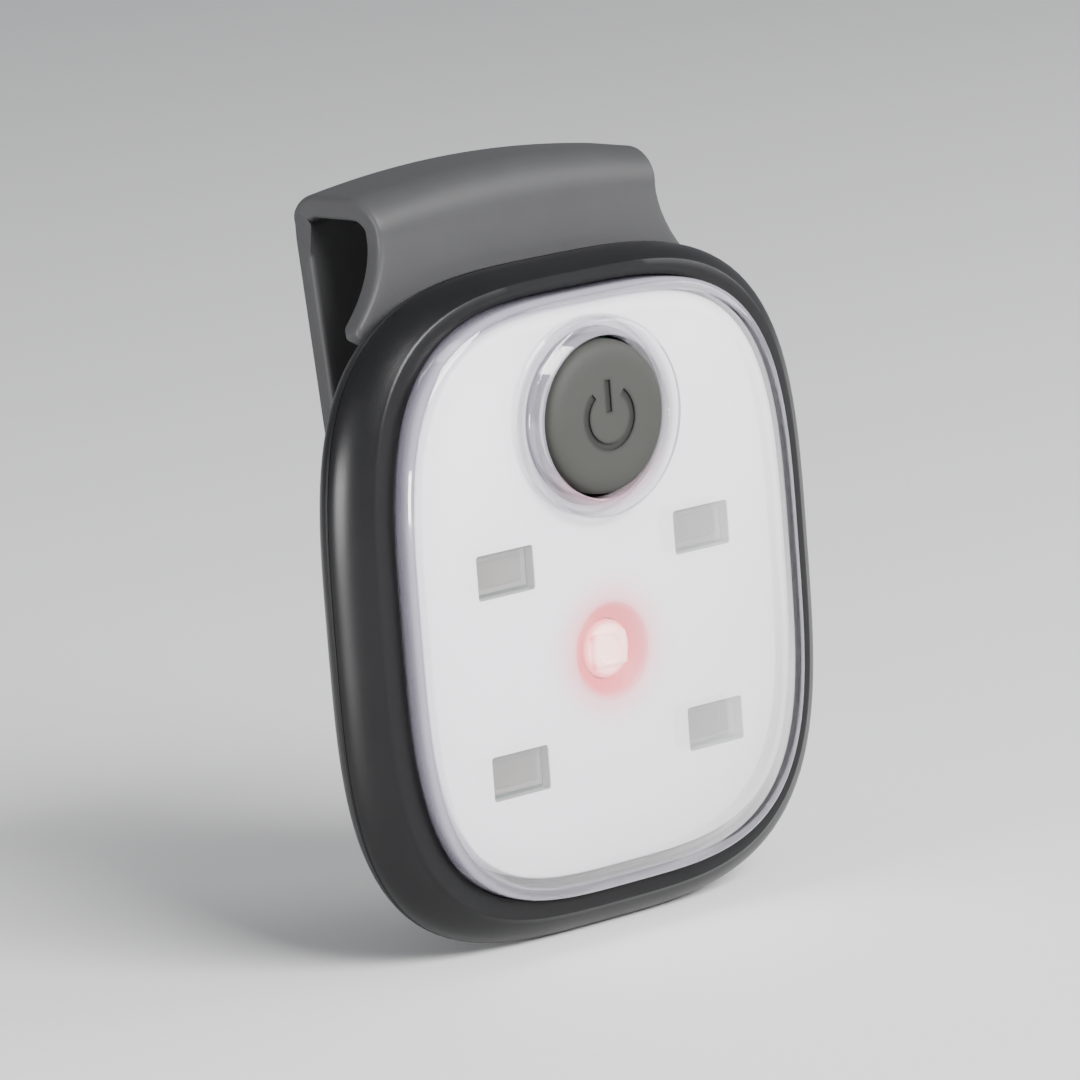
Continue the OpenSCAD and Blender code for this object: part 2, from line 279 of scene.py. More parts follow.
def loft(name, rings, power=2.0, points=96, closed=False):
    """A shell drawn ring by ring. A ring is half-width, half-height, centre height, depth and, off
    the middle line, centre x. A circle is squared to the power, sized to the first ring, and
    extruded to each next one. Then the ends are filled, or joined to each other if closed."""
    clear_selection()
    bpy.ops.mesh.primitive_circle_add(vertices=points, radius=1, rotation=(math.pi / 2, 0, 0))
    bpy.ops.object.transform_apply()
    piece = bpy.context.object
    piece.name = piece.data.name = name
    for vertex in piece.data.vertices:
        vertex.co *= (abs(vertex.co.x) ** power + abs(vertex.co.z) ** power) ** (-1 / power)
    bpy.ops.object.mode_set(mode="EDIT")
    bpy.ops.mesh.select_all(action="SELECT")
    last_x, last_z, last_hub = 1, 1, Vector((0, 0, 0))
    for count, (half_x, half_z, rise, depth, *aside) in enumerate(rings):
        hub = place(*(aside or [0]), depth, rise)
        if count:
            bpy.ops.mesh.extrude_edges_move()
        growth = (half_x * MM / last_x, 1, half_z * MM / last_z)
        bpy.ops.transform.resize(value=growth, center_override=last_hub)
        bpy.ops.transform.translate(value=hub - last_hub)
        last_x, last_z, last_hub = half_x * MM, half_z * MM, hub
    bpy.ops.mesh.select_all(action="DESELECT")
    bpy.ops.mesh.select_non_manifold()
    if closed:
        bpy.ops.mesh.bridge_edge_loops()
    else:
        bpy.ops.mesh.fill_holes(sides=0)
    bpy.ops.mesh.select_all(action="SELECT")
    bpy.ops.mesh.normals_make_consistent(inside=False)
    bpy.ops.object.mode_set(mode="OBJECT")
    return piece


def turned(name, profile, rise, aside=0, points=96, closed=False):
    """A round piece from its profile of radius and depth, turned about a front-to-back axis."""
    rings = [(radius, radius, rise, depth, aside) for radius, depth in profile]
    return loft(name, rings, 2.0, points, closed)


def smooth(piece, angle=SMOOTH_ANGLE):
    """Smooth shading that keeps edges sharper than the angle."""
    clear_selection()
    piece.select_set(True)
    bpy.context.view_layer.objects.active = piece
    bpy.ops.object.shade_smooth_by_angle(angle=math.radians(angle))


def apply_modifier(piece, kind, **settings):
    """Adds a modifier with its settings and applies it at once."""
    clear_selection()
    bpy.context.view_layer.objects.active = piece
    modifier = piece.modifiers.new(kind.lower(), kind)
    for key, value in settings.items():
        setattr(modifier, key, value)
    bpy.ops.object.modifier_apply(modifier=modifier.name)


def carve(piece, tool, operation="DIFFERENCE"):
    """Cuts the tool's shape out of a piece, or welds it on, and takes the tool away."""
    apply_modifier(piece, "BOOLEAN", operation=operation, object=tool, solver="EXACT")
    bpy.data.objects.remove(tool)


def round_edges(piece, width, segments=2, angle=40, clamped=True):
    """Rounds every edge sharper than the angle by width millimetres."""
    apply_modifier(piece, "BEVEL", width=width * MM, segments=segments, limit_method="ANGLE",
        angle_limit=math.radians(angle), use_clamp_overlap=clamped)


def bar(name, low, high):
    """A square-cornered block between two corners in millimetres."""
    clear_selection()
    size = MM * (Vector(high) - Vector(low))
    bpy.ops.mesh.primitive_cube_add(size=1, location=(place(*low) + place(*high)) / 2, scale=size)
    bpy.ops.object.transform_apply()
    piece = bpy.context.object
    piece.name = piece.data.name = name
    return piece


def settle(piece, body, slot, *nodes):
    """Parents a finished piece to the body it moves with and hides the CAD nodes it stands for."""
    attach(piece, body)
    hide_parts(*nodes)


def moulded(name, dark, light, roughness, cloud, grain_size, grain_depth, **constants):
    """Moulded plastic: a slightly uneven colour and gloss over a fine spark-eroded grain."""
    finish = Finish(name, **constants)
    patches = finish.noise(cloud, 4, 0.6)
    fine = finish.noise(grain_size, 2, 0.55)
    finish.drive("Base Color", finish.mix(patches * 0.7 + fine * 0.3, (*dark, 1), (*light, 1)))
    finish.drive("Roughness", roughness + (patches - 0.5) * 0.14 + (fine - 0.5) * 0.1)
    finish.grain(fine, grain_depth)
    return finish


head_x, head_z, head_rise, bezel_front, _ = sizes("front_bezel")
lens_x, lens_z, lens_rise, _, lens_back = sizes("lens")
PARTING = 4.5
LEDGE_FRONT, LEDGE_BACK = 2.6, 3.8
LEDGE_X, LEDGE_Z = 19.45, 22.25
RIM_WIDTH = 1.0
RIM_ROUND = 0.18
POCKET_GAP = 0.12
HOUSING_WALL = 1.85
FLARE_STEPS = 14
FLARE_X, FLARE_Z, FLARE_LIFT = 2.2, 1.5, 0.5
SCREW_X, SCREW_Z = 16.4, 18.6
SCREW_POST = [(1.9, 3.5), (1.9, 5.4)]
SCREW_BORE = [(0.9, 3.3), (0.9, 6)]


def flare_ring(share):
    """A ring on the bezel's outside, from the parting line at 0 to the flat rim at 1."""
    bow = share ** 2
    return (
        head_x - FLARE_X * bow,
        head_z - FLARE_Z * bow,
        head_rise + FLARE_LIFT * bow,
        PARTING + (bezel_front + RIM_ROUND - PARTING) * share,
    )


def pocket_ring(spread, depth):
    """A ring round the lens, spread millimetres outside it."""
    return (lens_x + spread, lens_z + spread, lens_rise, depth)


def screw_places():
    """Where the four housing screws stand, as x and z."""
    return [(sx * SCREW_X, head_rise + sz * SCREW_Z) for sx in (-1, 1) for sz in (-1, 1)]


bezel_rings = [
    (LEDGE_X, LEDGE_Z, lens_rise, LEDGE_BACK),
    (LEDGE_X, LEDGE_Z, lens_rise, LEDGE_FRONT),
    pocket_ring(POCKET_GAP, LEDGE_FRONT),
    pocket_ring(POCKET_GAP, bezel_front + RIM_ROUND),
    pocket_ring(POCKET_GAP + 0.06, bezel_front + 0.05),
    pocket_ring(POCKET_GAP + RIM_ROUND, bezel_front),
    pocket_ring(RIM_WIDTH - 0.3, bezel_front),
    (head_x - FLARE_X - 0.3, head_z - FLARE_Z - 0.14, head_rise + FLARE_LIFT, bezel_front + 0.03),
    (head_x - FLARE_X - 0.1, head_z - FLARE_Z - 0.06, head_rise + FLARE_LIFT, bezel_front + 0.09),
]
bezel_rings += [flare_ring(1 - step / FLARE_STEPS) for step in range(FLARE_STEPS)]
bezel_rings += [
    (head_x, head_z, head_rise, PARTING - 0.1),
    (head_x - 0.08, head_z - 0.08, head_rise, PARTING),
    (head_x - HOUSING_WALL, head_z - HOUSING_WALL, head_rise, PARTING),
    (head_x - HOUSING_WALL, head_z - HOUSING_WALL, head_rise, LEDGE_BACK),
]
bezel = loft("bezel", bezel_rings, HEAD_POWER, HEAD_POINTS, closed=True)
for x, z in screw_places():
    carve(bezel, turned("boss", SCREW_POST, z, x, 40), "UNION")
    carve(bezel, turned("bore", SCREW_BORE, z, x, 40))
smooth(bezel)
housing_finish = moulded("satin_black_plastic", (0.003, 0.003, 0.0034), (0.006, 0.006, 0.0066),
    0.33, 6, 0.16, 0.006, Specular_IOR_Level=0.24)
housing_finish.paint(bezel)
settle(bezel, "head", "housing_plastic", "front_bezel")

# ---- Rear shell ----
# The back half of the housing, a deep moulded bowl. Four screw wells are sunk in its sloping
# corners, and a round battery opening with two notches for the door's lugs is in its flat back.
shell_x, shell_z, shell_rise, spigot_front, shell_back = sizes("rear_shell")
_, DOOR_RADIUS, door_rise, _, door_back = sizes("battery_door")
SHELL_WALL = 1.6
DOOR_GAP = 0.15
WELL_RADIUS = 1.8
SCREW_WELL = [(0.95, 5), (0.95, 6.6), (WELL_RADIUS, 6.6), (WELL_RADIUS, 15)]
WELL_BOSS = [(2.7, 5.45), (2.7, 13)]
CLIP_PILLAR = [(2.1, 8.75), (2.1, 13)]
CLIP_THREAD = [(0.9, 8), (0.9, 11.6)]
CLIP_SCREW_X, CLIP_SCREW_Z = 7, 23.6
TONGUE_SLOT = ((-11.2, 7.1, 22), (11.2, 8.85, 34))
OUTSIDE = [(0.1, 4.6), (0, 4.72), (0.04, 5.1), (0.18, 5.5), (0.45, 6), (0.82, 6.5), (1.25, 7), (2.1, 8),
    (2.95, 9), (3.85, 10), (4.75, 11), (5.55, 12), (6.1, 12.6), (6.55, 13.1), (7.0, 13.45), (7.5, 13.68)]


def shell_ring(inset, depth):
    """A ring of the head's outline, inset millimetres inside its widest line."""
    return (shell_x - inset, shell_z - inset, shell_rise, depth)


def sector(name, near, far, front, back, rise, middle, spread, steps=24):
    """A block curved round a front-to-back axis: a rectangle spun about it. Angles are in degrees
    from the right towards the top."""
    begin, sweep = math.radians(middle - spread), math.radians(2 * spread)
    clear_selection()
    bpy.ops.mesh.primitive_plane_add(size=1)
    piece = bpy.context.object
    piece.name = piece.data.name = name
    for vertex in piece.data.vertices:
        radius = near + (far - near) * (vertex.co.x + 0.5)
        depth = front + (back - front) * (vertex.co.y + 0.5)
        vertex.co = place(radius * math.cos(begin), depth, rise + radius * math.sin(begin))
    bpy.ops.object.mode_set(mode="EDIT")
    bpy.ops.mesh.select_all(action="SELECT")
    bpy.ops.mesh.spin(steps=steps, angle=sweep, center=place(0, 0, rise), axis=(0, 1, 0))
    bpy.ops.mesh.select_all(action="SELECT")
    bpy.ops.mesh.remove_doubles(threshold=1e-6)
    bpy.ops.mesh.normals_make_consistent(inside=False)
    bpy.ops.object.mode_set(mode="OBJECT")
    return piece


shell_rings = [shell_ring(2.75, spigot_front), shell_ring(1.97, spigot_front), shell_ring(1.97, 4.6)]
shell_rings += [shell_ring(*spot) for spot in OUTSIDE] + [shell_ring(8.2, shell_back)]
shell = loft("back_shell", shell_rings, HEAD_POWER, HEAD_POINTS)
hollow_rings = [shell_ring(2.75, 4), shell_ring(2.75, 6.5), shell_ring(4.6, 9), shell_ring(6.4, 11),
    shell_ring(7.6, shell_back - SHELL_WALL)]
hollow = loft("hollow", hollow_rings, HEAD_POWER, HEAD_POINTS)
for x, z in screw_places():
    carve(hollow, turned("boss", WELL_BOSS, z, x, 48))
for side in (-1, 1):
    carve(hollow, turned("pillar", CLIP_PILLAR, CLIP_SCREW_Z, side * CLIP_SCREW_X, 32))
carve(shell, hollow)
for x, z in screw_places():
    carve(shell, turned("well", SCREW_WELL, z, x, 48))
for side in (-1, 1):
    carve(shell, turned("thread", CLIP_THREAD, CLIP_SCREW_Z, side * CLIP_SCREW_X, 32))
carve(shell, bar("tongue_slot", *TONGUE_SLOT))
door_hole = [(DOOR_RADIUS + DOOR_GAP, 11), (DOOR_RADIUS + DOOR_GAP, 15)]
carve(shell, turned("door_hole", door_hole, door_rise, 0, 120))
for angle in (-40, 140):
    carve(shell, sector("notch", 12, 13.9, 11, 15, door_rise, angle, 18))
smooth(shell)
housing_finish.paint(shell)
settle(shell, "head", "housing_plastic", "rear_shell")

# ---- Housing screws ----
# Four small steel cross-head screws at the bottom of the wells. They pull the two halves together.
HEAD_PROFILE = [(0.2, 3.55), (0.8, 3.85), (0.85, 6.6), (1.52, 6.6), (1.6, 6.7), (1.58, 7.2), (1.4, 7.5),
    (1.05, 7.72), (0.6, 7.78), (0.2, 7.8)]
CROSS_LONG, CROSS_WIDE = 0.95, 0.19


def twin(piece, name, x, y, z):
    """A copy of a piece with its own mesh, moved by millimetres."""
    copy = piece.copy()
    copy.data = piece.data.copy()
    copy.name = copy.data.name = name
    bpy.context.collection.objects.link(copy)
    copy.data.transform(Matrix.Translation(MM * Vector((x, y, z))))
    return copy


screw_finish = Finish("zinc_plated_steel", Metallic=1.0)
screw_cloud = screw_finish.noise(0.5, 3)
screw_colour = screw_finish.mix(screw_cloud, (0.34, 0.34, 0.36, 1), (0.62, 0.62, 0.65, 1))
screw_finish.drive("Base Color", screw_colour)
screw_finish.drive("Roughness", 0.25 + screw_cloud * 0.25)
first_x, first_z = screw_places()[0]
screw = turned("housing_screw_1", HEAD_PROFILE, first_z, first_x, 40)
for wide, tall in ((CROSS_LONG, CROSS_WIDE), (CROSS_WIDE, CROSS_LONG)):
    low, high = (first_x - wide, 7.2, first_z - tall), (first_x + wide, 8, first_z + tall)
    carve(screw, bar("cross", low, high))
smooth(screw)
screw_finish.paint(screw)
for number, (x, z) in enumerate(screw_places()[1:], 2):
    other = twin(screw, f"housing_screw_{number}", x - first_x, 0, z - first_z)
    settle(other, "head", "screw_steel", "housing_screws")
settle(screw, "head", "screw_steel", "housing_screws")

# ---- Battery door ----
# A round bayonet door of the same black plastic, flush in the back. It has a slot for a coin, an
# open groove for its rubber ring, and two lugs that catch behind the shell.
door_edge = DOOR_RADIUS - 0.05
DOOR_PROFILE = [(10.9, 12.1), (10.9, 10.9), (11.9, 10.9), (11.9, 12.1), (door_edge, 12.1), (door_edge, 12.5),
    (11.95, 12.5), (11.95, 13.2), (door_edge, 13.2), (door_edge, 13.5), (door_edge - 0.06, 13.66),
    (door_edge - 0.22, door_back), (10.6, door_back), (10.45, door_back - 0.2), (10.1, door_back - 0.2),
    (9.95, door_back)]
door = turned("door", DOOR_PROFILE, door_rise, 0, 144)
COIN_LONG, COIN_WIDE, COIN_DEEP = 7, 0.8, 0.9
coin_low = (-COIN_WIDE, door_back - COIN_DEEP, door_rise - COIN_LONG)
carve(door, bar("coin_slot", coin_low, (COIN_WIDE, 15, door_rise + COIN_LONG)))
for angle in (0, 180):
    carve(door, sector("lug", 11.4, 13.6, 11, 11.8, door_rise, angle, 15.3, 16), "UNION")
smooth(door)
housing_finish.paint(door)
settle(door, "door", "housing_plastic", "battery_door")

# ---- White plate ----
# The shallow white pan behind the lens, moulded in smooth white plastic. It has a window for each
# white LED, a funnel for the red one and a hole for the button. The red LED's light on it is painted.
plate_x, plate_z, plate_rise, plate_front, plate_back = sizes("reflector_plate")
PLATE_POWER = 3.5
PLATE_WALL = 0.9
LED_X, LED_Z = 10.4, 8.1
BUTTON_Z = 19
BUTTON_HOLE = 7.2
WINDOW_X, WINDOW_Z = 2.95, 1.8
FUNNEL_WIDE, FUNNEL_NARROW = 3.8, 2.4
GLOW_REACH = 7.0


def plate_ring(inset, depth):
    """A ring of the plate's outline, inset millimetres inside it."""
    return (plate_x - inset, plate_z - inset, plate_rise, depth)


def corners():
    """The signs of the four corners, left and right by bottom and top."""
    return [(side, rise) for side in (-1, 1) for rise in (-1, 1)]


plate_rings = [plate_ring(PLATE_WALL, 1.3), plate_ring(PLATE_WALL, plate_back), plate_ring(0, plate_back),
    plate_ring(0, 0.6), plate_ring(0.1, 0.4), plate_ring(0.3, plate_front)]
plate = loft("white_plate", plate_rings, PLATE_POWER, HEAD_POINTS)
carve(plate, turned("button_hole", [(BUTTON_HOLE, -1), (BUTTON_HOLE, 3)], BUTTON_Z))
funnel = [(FUNNEL_WIDE + 0.5, -0.2), (FUNNEL_WIDE, plate_front), (FUNNEL_NARROW, 1.35),
    (FUNNEL_NARROW, 1.6)]
carve(plate, turned("funnel", funnel, 0))
for side, rise in corners():
    low = (side * LED_X - WINDOW_X, -1, rise * LED_Z - WINDOW_Z)
    high = (side * LED_X + WINDOW_X, 2, rise * LED_Z + WINDOW_Z)
    window = bar("window", low, high)
    round_edges(window, 0.25, 3)
    carve(plate, window)
smooth(plate)


def distance_from(finish, x, z):
    """Millimetres from a front-to-back line through x and z, as a wire."""
    across, _, up = finish.axes()
    spot = place(x, 0, z)
    return (((across - spot.x) ** 2.0 + (up - spot.z) ** 2.0) ** 0.5) / MM


plate_finish = Finish("smooth_white_plastic", Emission_Strength=0.9)
plate_cloud = plate_finish.noise(9, 3, 0.5)
plate_across, plate_depth, plate_up = plate_finish.axes()
# Painted shade: the window walls, behind the plate's front face, are coloured dark brown-grey in place of
# white.
aside = abs(abs(plate_across) / MM - LED_X).fade(WINDOW_X + 0.12, WINDOW_X - 0.04)
above = abs(abs(plate_up - ORIGIN.z) / MM - LED_Z).fade(WINDOW_Z + 0.12, WINDOW_Z - 0.04)
window_wall_shade = aside * above * ((plate_depth - ORIGIN.y) / MM).fade(plate_front + 0.02, plate_front + 0.2)
# Painted red light: round the red LED the plate's colour turns pink and it glows by emission, and the funnel
# walls are painted deep red and glowing, in place of the LED's light falling on them.
from_red = distance_from(plate_finish, 0, 0)
painted_red_glow = from_red.fade(GLOW_REACH, 2.8)
painted_funnel_glow = from_red.fade(FUNNEL_WIDE + 0.5, FUNNEL_WIDE - 0.5)
bare = plate_finish.mix(plate_cloud, (0.86, 0.85, 0.905, 1), (0.90, 0.895, 0.94, 1))
window_shade_colour = plate_finish.mix(window_wall_shade * 0.9, bare, (0.14, 0.13, 0.122, 1))
red_glow_colour = plate_finish.mix(painted_red_glow, window_shade_colour, (0.90, 0.45, 0.52, 1))
plate_finish.drive("Base Color", plate_finish.mix(painted_funnel_glow, red_glow_colour, (0.62, 0.045, 0.08, 1)))
red_glow_emission = plate_finish.mix(painted_red_glow, (0, 0, 0, 1), (0.46, 0.04, 0.07, 1))
plate_finish.drive("Emission Color", plate_finish.mix(painted_funnel_glow, red_glow_emission, (0.85, 0.045, 0.085, 1)))
plate_finish.drive("Roughness", 0.42 + plate_cloud * 0.08)
plate_finish.paint(plate)
settle(plate, "head", "white_plastic", "reflector_plate")

# ---- White LEDs ----
# Four wide surface-mounted LEDs, off. Each is a cream plastic frame with a shallow well of
# beige-grey phosphor gel, soldered to the board behind its window.
led_x, led_z, _, led_front, led_back = sizes("led_lower_left")
FRAME_WIDTH = 0.36
WELL_FLOOR = 1.4
WELL_TAPER = (0.97, 1, 0.94)
led_low = (-LED_X - led_x, led_front, -LED_Z - led_z)
led_high = (-LED_X + led_x, led_back, -LED_Z + led_z)
led = bar("white_led_1", led_low, led_high)
bpy.ops.object.mode_set(mode="EDIT")
bpy.ops.mesh.select_mode(type="FACE")
bpy.ops.mesh.select_all(action="DESELECT")
bpy.ops.object.mode_set(mode="OBJECT")
for face in led.data.polygons:
    face.select = face.normal.y < -0.5
bpy.ops.object.mode_set(mode="EDIT")
bpy.ops.mesh.inset(thickness=FRAME_WIDTH * MM)
bpy.ops.mesh.extrude_region_move()
bpy.ops.transform.translate(value=(0, (WELL_FLOOR - led_front) * MM, 0))
bpy.ops.transform.resize(value=WELL_TAPER, center_override=place(-LED_X, 0, -LED_Z))
bpy.ops.mesh.select_mode(type="VERT")
bpy.ops.object.mode_set(mode="OBJECT")
round_edges(led, 0.06)
smooth(led)
# Painted shade: frame and gel are coloured far darker than cream and beige, for the shade of the window they
# sit in.
led_finish = Finish("shaded_phosphor_and_frame", Coat_Roughness=0.2)
led_depth = led_finish.axes()[1]
gel = ((led_depth - ORIGIN.y) / MM).fade(led_front + 0.04, WELL_FLOOR - 0.02)
gel_cloud = led_finish.noise(0.8, 3)
shaded_gel_colour = led_finish.mix(gel_cloud, (0.115, 0.104, 0.096, 1), (0.142, 0.13, 0.121, 1))
shaded_frame_colour = led_finish.mix(gel_cloud, (0.18, 0.167, 0.158, 1), (0.21, 0.195, 0.185, 1))
led_finish.drive("Base Color", led_finish.mix(gel, shaded_frame_colour, shaded_gel_colour))
led_finish.drive("Roughness", 0.5 - gel * 0.15)
led_finish.drive("Coat Weight", gel * 0.4)
led_finish.paint(led)
LED_NODES = {(-1, -1): "led_lower_left", (-1, 1): "led_upper_left", (1, -1): "led_lower_right",
    (1, 1): "led_upper_right"}
for number, (side, rise) in enumerate(corners()[1:], 2):
    other = twin(led, f"white_led_{number}", (side + 1) * LED_X, 0, (rise + 1) * LED_Z)
    settle(other, "head", "led_body", LED_NODES[side, rise])
settle(led, "head", "led_body", LED_NODES[-1, -1])

# ---- Red LED ----
# A small square LED with a round cup in its face, set in clear gel that fills the funnel's foot.
# It is lit: its face is nearly white, and the gel round it glows pink.
ruby_x, ruby_z, _, ruby_front, ruby_back = sizes("red_led")
GEL_PROFILE = [(2.1, 0.95), (2.36, 1.02), (2.36, 1.9)]
CUP_PROFILE = [(1.3, 0.2), (1.25, ruby_front), (1.0, 0.7)]
ruby = bar("ruby_led", (-ruby_x, ruby_front, -ruby_z), (ruby_x, ruby_back, ruby_z))
round_edges(ruby, 0.25, 3)
carve(ruby, turned("gel", GEL_PROFILE, 0, 0, 64), "UNION")
carve(ruby, turned("cup", CUP_PROFILE, 0, 0, 64))
smooth(ruby)
ruby_finish = Finish("lit_red_led", Roughness=0.3, Emission_Strength=1.6)
ruby_cloud = ruby_finish.noise(0.7, 3)
hot = distance_from(ruby_finish, 0.1, 0).fade(2.35, 1.75)
ruby_finish.drive("Base Color", ruby_finish.mix(hot, (0.9, 0.2, 0.25, 1), (1.0, 0.72, 0.66, 1)))
hot_colour = ruby_finish.mix(ruby_cloud, (1.0, 0.47, 0.4, 1), (1.0, 0.56, 0.48, 1))
ruby_finish.drive("Emission Color", ruby_finish.mix(hot, (0.72, 0.055, 0.09, 1), hot_colour))
ruby_finish.paint(ruby)
settle(ruby, "head", "red_led", "red_led")

# ---- Lens ----
# The front window, one clear moulding with a rounded edge and polished faces. A raised collar
# rings the button. Its thick edge looks lilac-grey where it stands over the black bezel.
LENS_POWER = 3.5
COLLAR_BORE, COLLAR_REACH, COLLAR_FRONT = 6.5, 8, -1.3
LENS_FACE = -0.8
LENS_WALL = 0.9
SKIRT = 0.8
CLEAR_IOR = 1.46
LENS_EDGE = [(1.5, 0), (1.15, 0.01), (0.88, 0.05), (0.62, 0.13), (0.4, 0.25), (0.22, 0.41), (0.1, 0.6),
    (0.02, 0.84), (0, 1.1)]
COLLAR_PROFILE = [(COLLAR_BORE, -0.4), (COLLAR_BORE, -1.16), (6.56, -1.26), (6.7, COLLAR_FRONT),
    (7.55, COLLAR_FRONT), (7.76, -1.25), (7.92, -1.13), (COLLAR_REACH, -0.95), (COLLAR_REACH, -0.4)]


def lens_ring(inset, depth):
    """A ring of the lens's outline, inset millimetres inside it."""
    return (lens_x - inset, lens_z - inset, lens_rise, depth)


lens_rings = [lens_ring(inset, LENS_FACE + back) for inset, back in LENS_EDGE]
lens_rings += [lens_ring(0, lens_back), lens_ring(SKIRT, lens_back), lens_ring(SKIRT, LENS_FACE + LENS_WALL)]
lens = loft("clear_lens", lens_rings, LENS_POWER, HEAD_POINTS)
carve(lens, turned("collar", COLLAR_PROFILE, BUTTON_Z, 0, 128, closed=True), "UNION")
carve(lens, turned("button_bore", [(COLLAR_BORE, -3), (COLLAR_BORE, 1)], BUTTON_Z, 0, 128))
smooth(lens)

lens_finish = Finish("polished_clear_plastic", IOR=CLEAR_IOR)
across, depth, up = lens_finish.axes()
side_share = abs(across / (lens_x * MM)) ** LENS_POWER
top_share = abs((up - place(0, 0, lens_rise).z) / (lens_z * MM)) ** LENS_POWER
out_share = (side_share + top_share) ** (1 / LENS_POWER)
from_button = distance_from(lens_finish, 0, BUTTON_Z)
border = out_share.fade(1 - 1.0 / lens_x, 1 - 0.75 / lens_x)
wall = out_share.fade(1 - 0.5 / lens_x, 1 - 0.15 / lens_x)
collar_wall = from_button.fade(7.45, 7.85) * from_button.fade(8.3, 8.05)
collar_top = from_button.fade(8.1, 6.4)
scuff = lens_finish.noise(3.5, 4)
# Painted red light: the lower part of the collar is tinted pink, for the red LED's light on it.
collar_red_glow = collar_top * ((up - place(0, 0, BUTTON_Z).z) / MM).fade(-2, -6.5)
lilac = lens_finish.mix(scuff, (0.30, 0.28, 0.345, 1), (0.36, 0.34, 0.40, 1))
# Painted shade: the lens wall darkens as it goes back towards the bezel, and the collar top darkens too.
deep_wall_shade = wall * ((depth - ORIGIN.y) / MM).fade(-0.3, 1.3)
shaded = lens_finish.mix(deep_wall_shade + collar_top * 0.5, lilac, (0.095, 0.09, 0.115, 1))
lens_colour_with_red_glow = lens_finish.mix(collar_red_glow * 0.5, shaded, (0.55, 0.22, 0.28, 1))
lens_finish.drive("Base Color", lens_colour_with_red_glow)
lens_finish.drive("Roughness", 0.05 + scuff * 0.05)
haze = 0.01 + border * 0.35 + wall * 0.35 + collar_wall * 0.3 + collar_top * 0.5
lens_finish.drive("Alpha", haze.maths("MINIMUM", haze, 1.0))
mirror = lens_finish.add("ShaderNodeBsdfGlossy", None, {"Color": (1, 1, 1, 1), "Roughness": 0.05})
fresnel = lens_finish.add("ShaderNodeFresnel", None, {"IOR": CLEAR_IOR})
blend = lens_finish.add("ShaderNodeMixShader", None,
    {0: fresnel, 1: Wire(lens_finish, lens_finish.surface.outputs[0]), 2: mirror})
lens_finish.tree.links.new(blend.socket, lens_finish.end.inputs["Surface"])
lens_finish.paint(lens)
settle(lens, "head", "clear_plastic", "lens")

# ---- Power button ----
# A soft silicone key with a rounded rim and a sunken power mark, darkened with painted shade. It slides
# in the lens's collar and presses the switch on the board with a post behind.
key_x, _, key_rise, key_front, key_back = sizes("power_button")
MARK_NEAR, MARK_FAR, MARK_DEPTH = 2.1, 2.65, 0.18
MARK_SPREAD = 142
BAR_HALF, BAR_FOOT, BAR_TOP = 0.28, 0.4, 3
KEY_PROFILE = [(1.6, -0.4), (1.6, -0.7), (5, -0.7), (5, key_back), (key_x, key_back), (key_x, -0.5),
    (6.17, -0.75), (6.06, -1.0), (5.84, -1.24), (5.55, -1.42), (5.1, -1.53), (4.6, -1.585), (4.1, key_front)]
key = turned("power_key", KEY_PROFILE, key_rise, 0, 128)
mark_floor = key_front + MARK_DEPTH
carve(key, sector("mark_ring", MARK_NEAR, MARK_FAR, -3, mark_floor, key_rise, -90, MARK_SPREAD, 48))
mark_low, mark_high = (-BAR_HALF, -3, key_rise + BAR_FOOT), (BAR_HALF, mark_floor, key_rise + BAR_TOP)
carve(key, bar("mark_bar", mark_low, mark_high))
smooth(key)

key_finish = Finish("soft_grey_silicone", Specular_IOR_Level=0.3)
key_cloud = key_finish.noise(3, 4, 0.6)
key_grain = key_finish.noise(0.12, 2)
key_across, key_depth, key_up = key_finish.axes()
from_middle = distance_from(key_finish, 0, BUTTON_Z)
key_height = (key_up - place(0, 0, BUTTON_Z).z) / MM
key_aside = abs(key_across) / MM
# Painted shade: the sunken power mark is coloured darker than the rest of the key.
past_near = from_middle.fade(MARK_NEAR - 0.3, MARK_NEAR + 0.02)
on_ring = past_near * from_middle.fade(MARK_FAR + 0.3, MARK_FAR - 0.02)
below_gap = (key_height - key_aside).fade(0.6, 0.1)
on_bar = key_aside.fade(0.55, 0.26) * key_height.fade(0.1, 0.5) * from_middle.fade(3.3, 2.9)
mark_shade = on_ring * below_gap
mark_shade = mark_shade.maths("MAXIMUM", mark_shade, on_bar) * ((key_depth - ORIGIN.y) / MM).fade(-1, -1.2)
key_tone = key_cloud * 0.6 + key_grain * 0.4
key_colour = key_finish.mix(key_tone, (0.024, 0.0245, 0.0215, 1), (0.034, 0.0345, 0.031, 1))
key_finish.drive("Base Color", key_finish.mix(mark_shade * 0.7, key_colour, (0.009, 0.009, 0.008, 1)))
key_finish.drive("Roughness", 0.6 + key_cloud * 0.12)
key_finish.grain(key_grain, 0.005)
key_finish.paint(key)
settle(key, "button", "silicone", "power_button")

# ---- Clip strip ----
# One moulded strip of charcoal plastic. It stands up out of the head, bends over the top and hangs
# behind as a springy arm. Webbing slides in under its arched roof.
_, bridge_z, bridge_rise, _, _ = sizes("clip_bridge")
_, arm_z, arm_rise, _, arm_back = sizes("clip_arm")
STRIP_THICK = 1.9
STRIP_EDGE = 0.42
STRIP_COLUMNS = 28
WAIST = 14.65
NECK_FOOT, NECK_TOP, NECK_LEAN = 26.5, 35.5, 0.055
NECK_MIDDLE = 7.85
FOOT_ROUND = 2
FRONT_BEND, REAR_BEND = 2.25, 1.85
ROOF_ARCH = 1.2
ARM_TIP_ROUND = 6
TIP_THINNED = 4
ARM_NARROW, ARM_SPREAD = 11.6, 3.2
roof_middle = bridge_rise + bridge_z - STRIP_THICK / 2
arm_middle = arm_back - STRIP_THICK / 2
tip = arm_rise - arm_z
FLEX_HEIGHT = 34.5


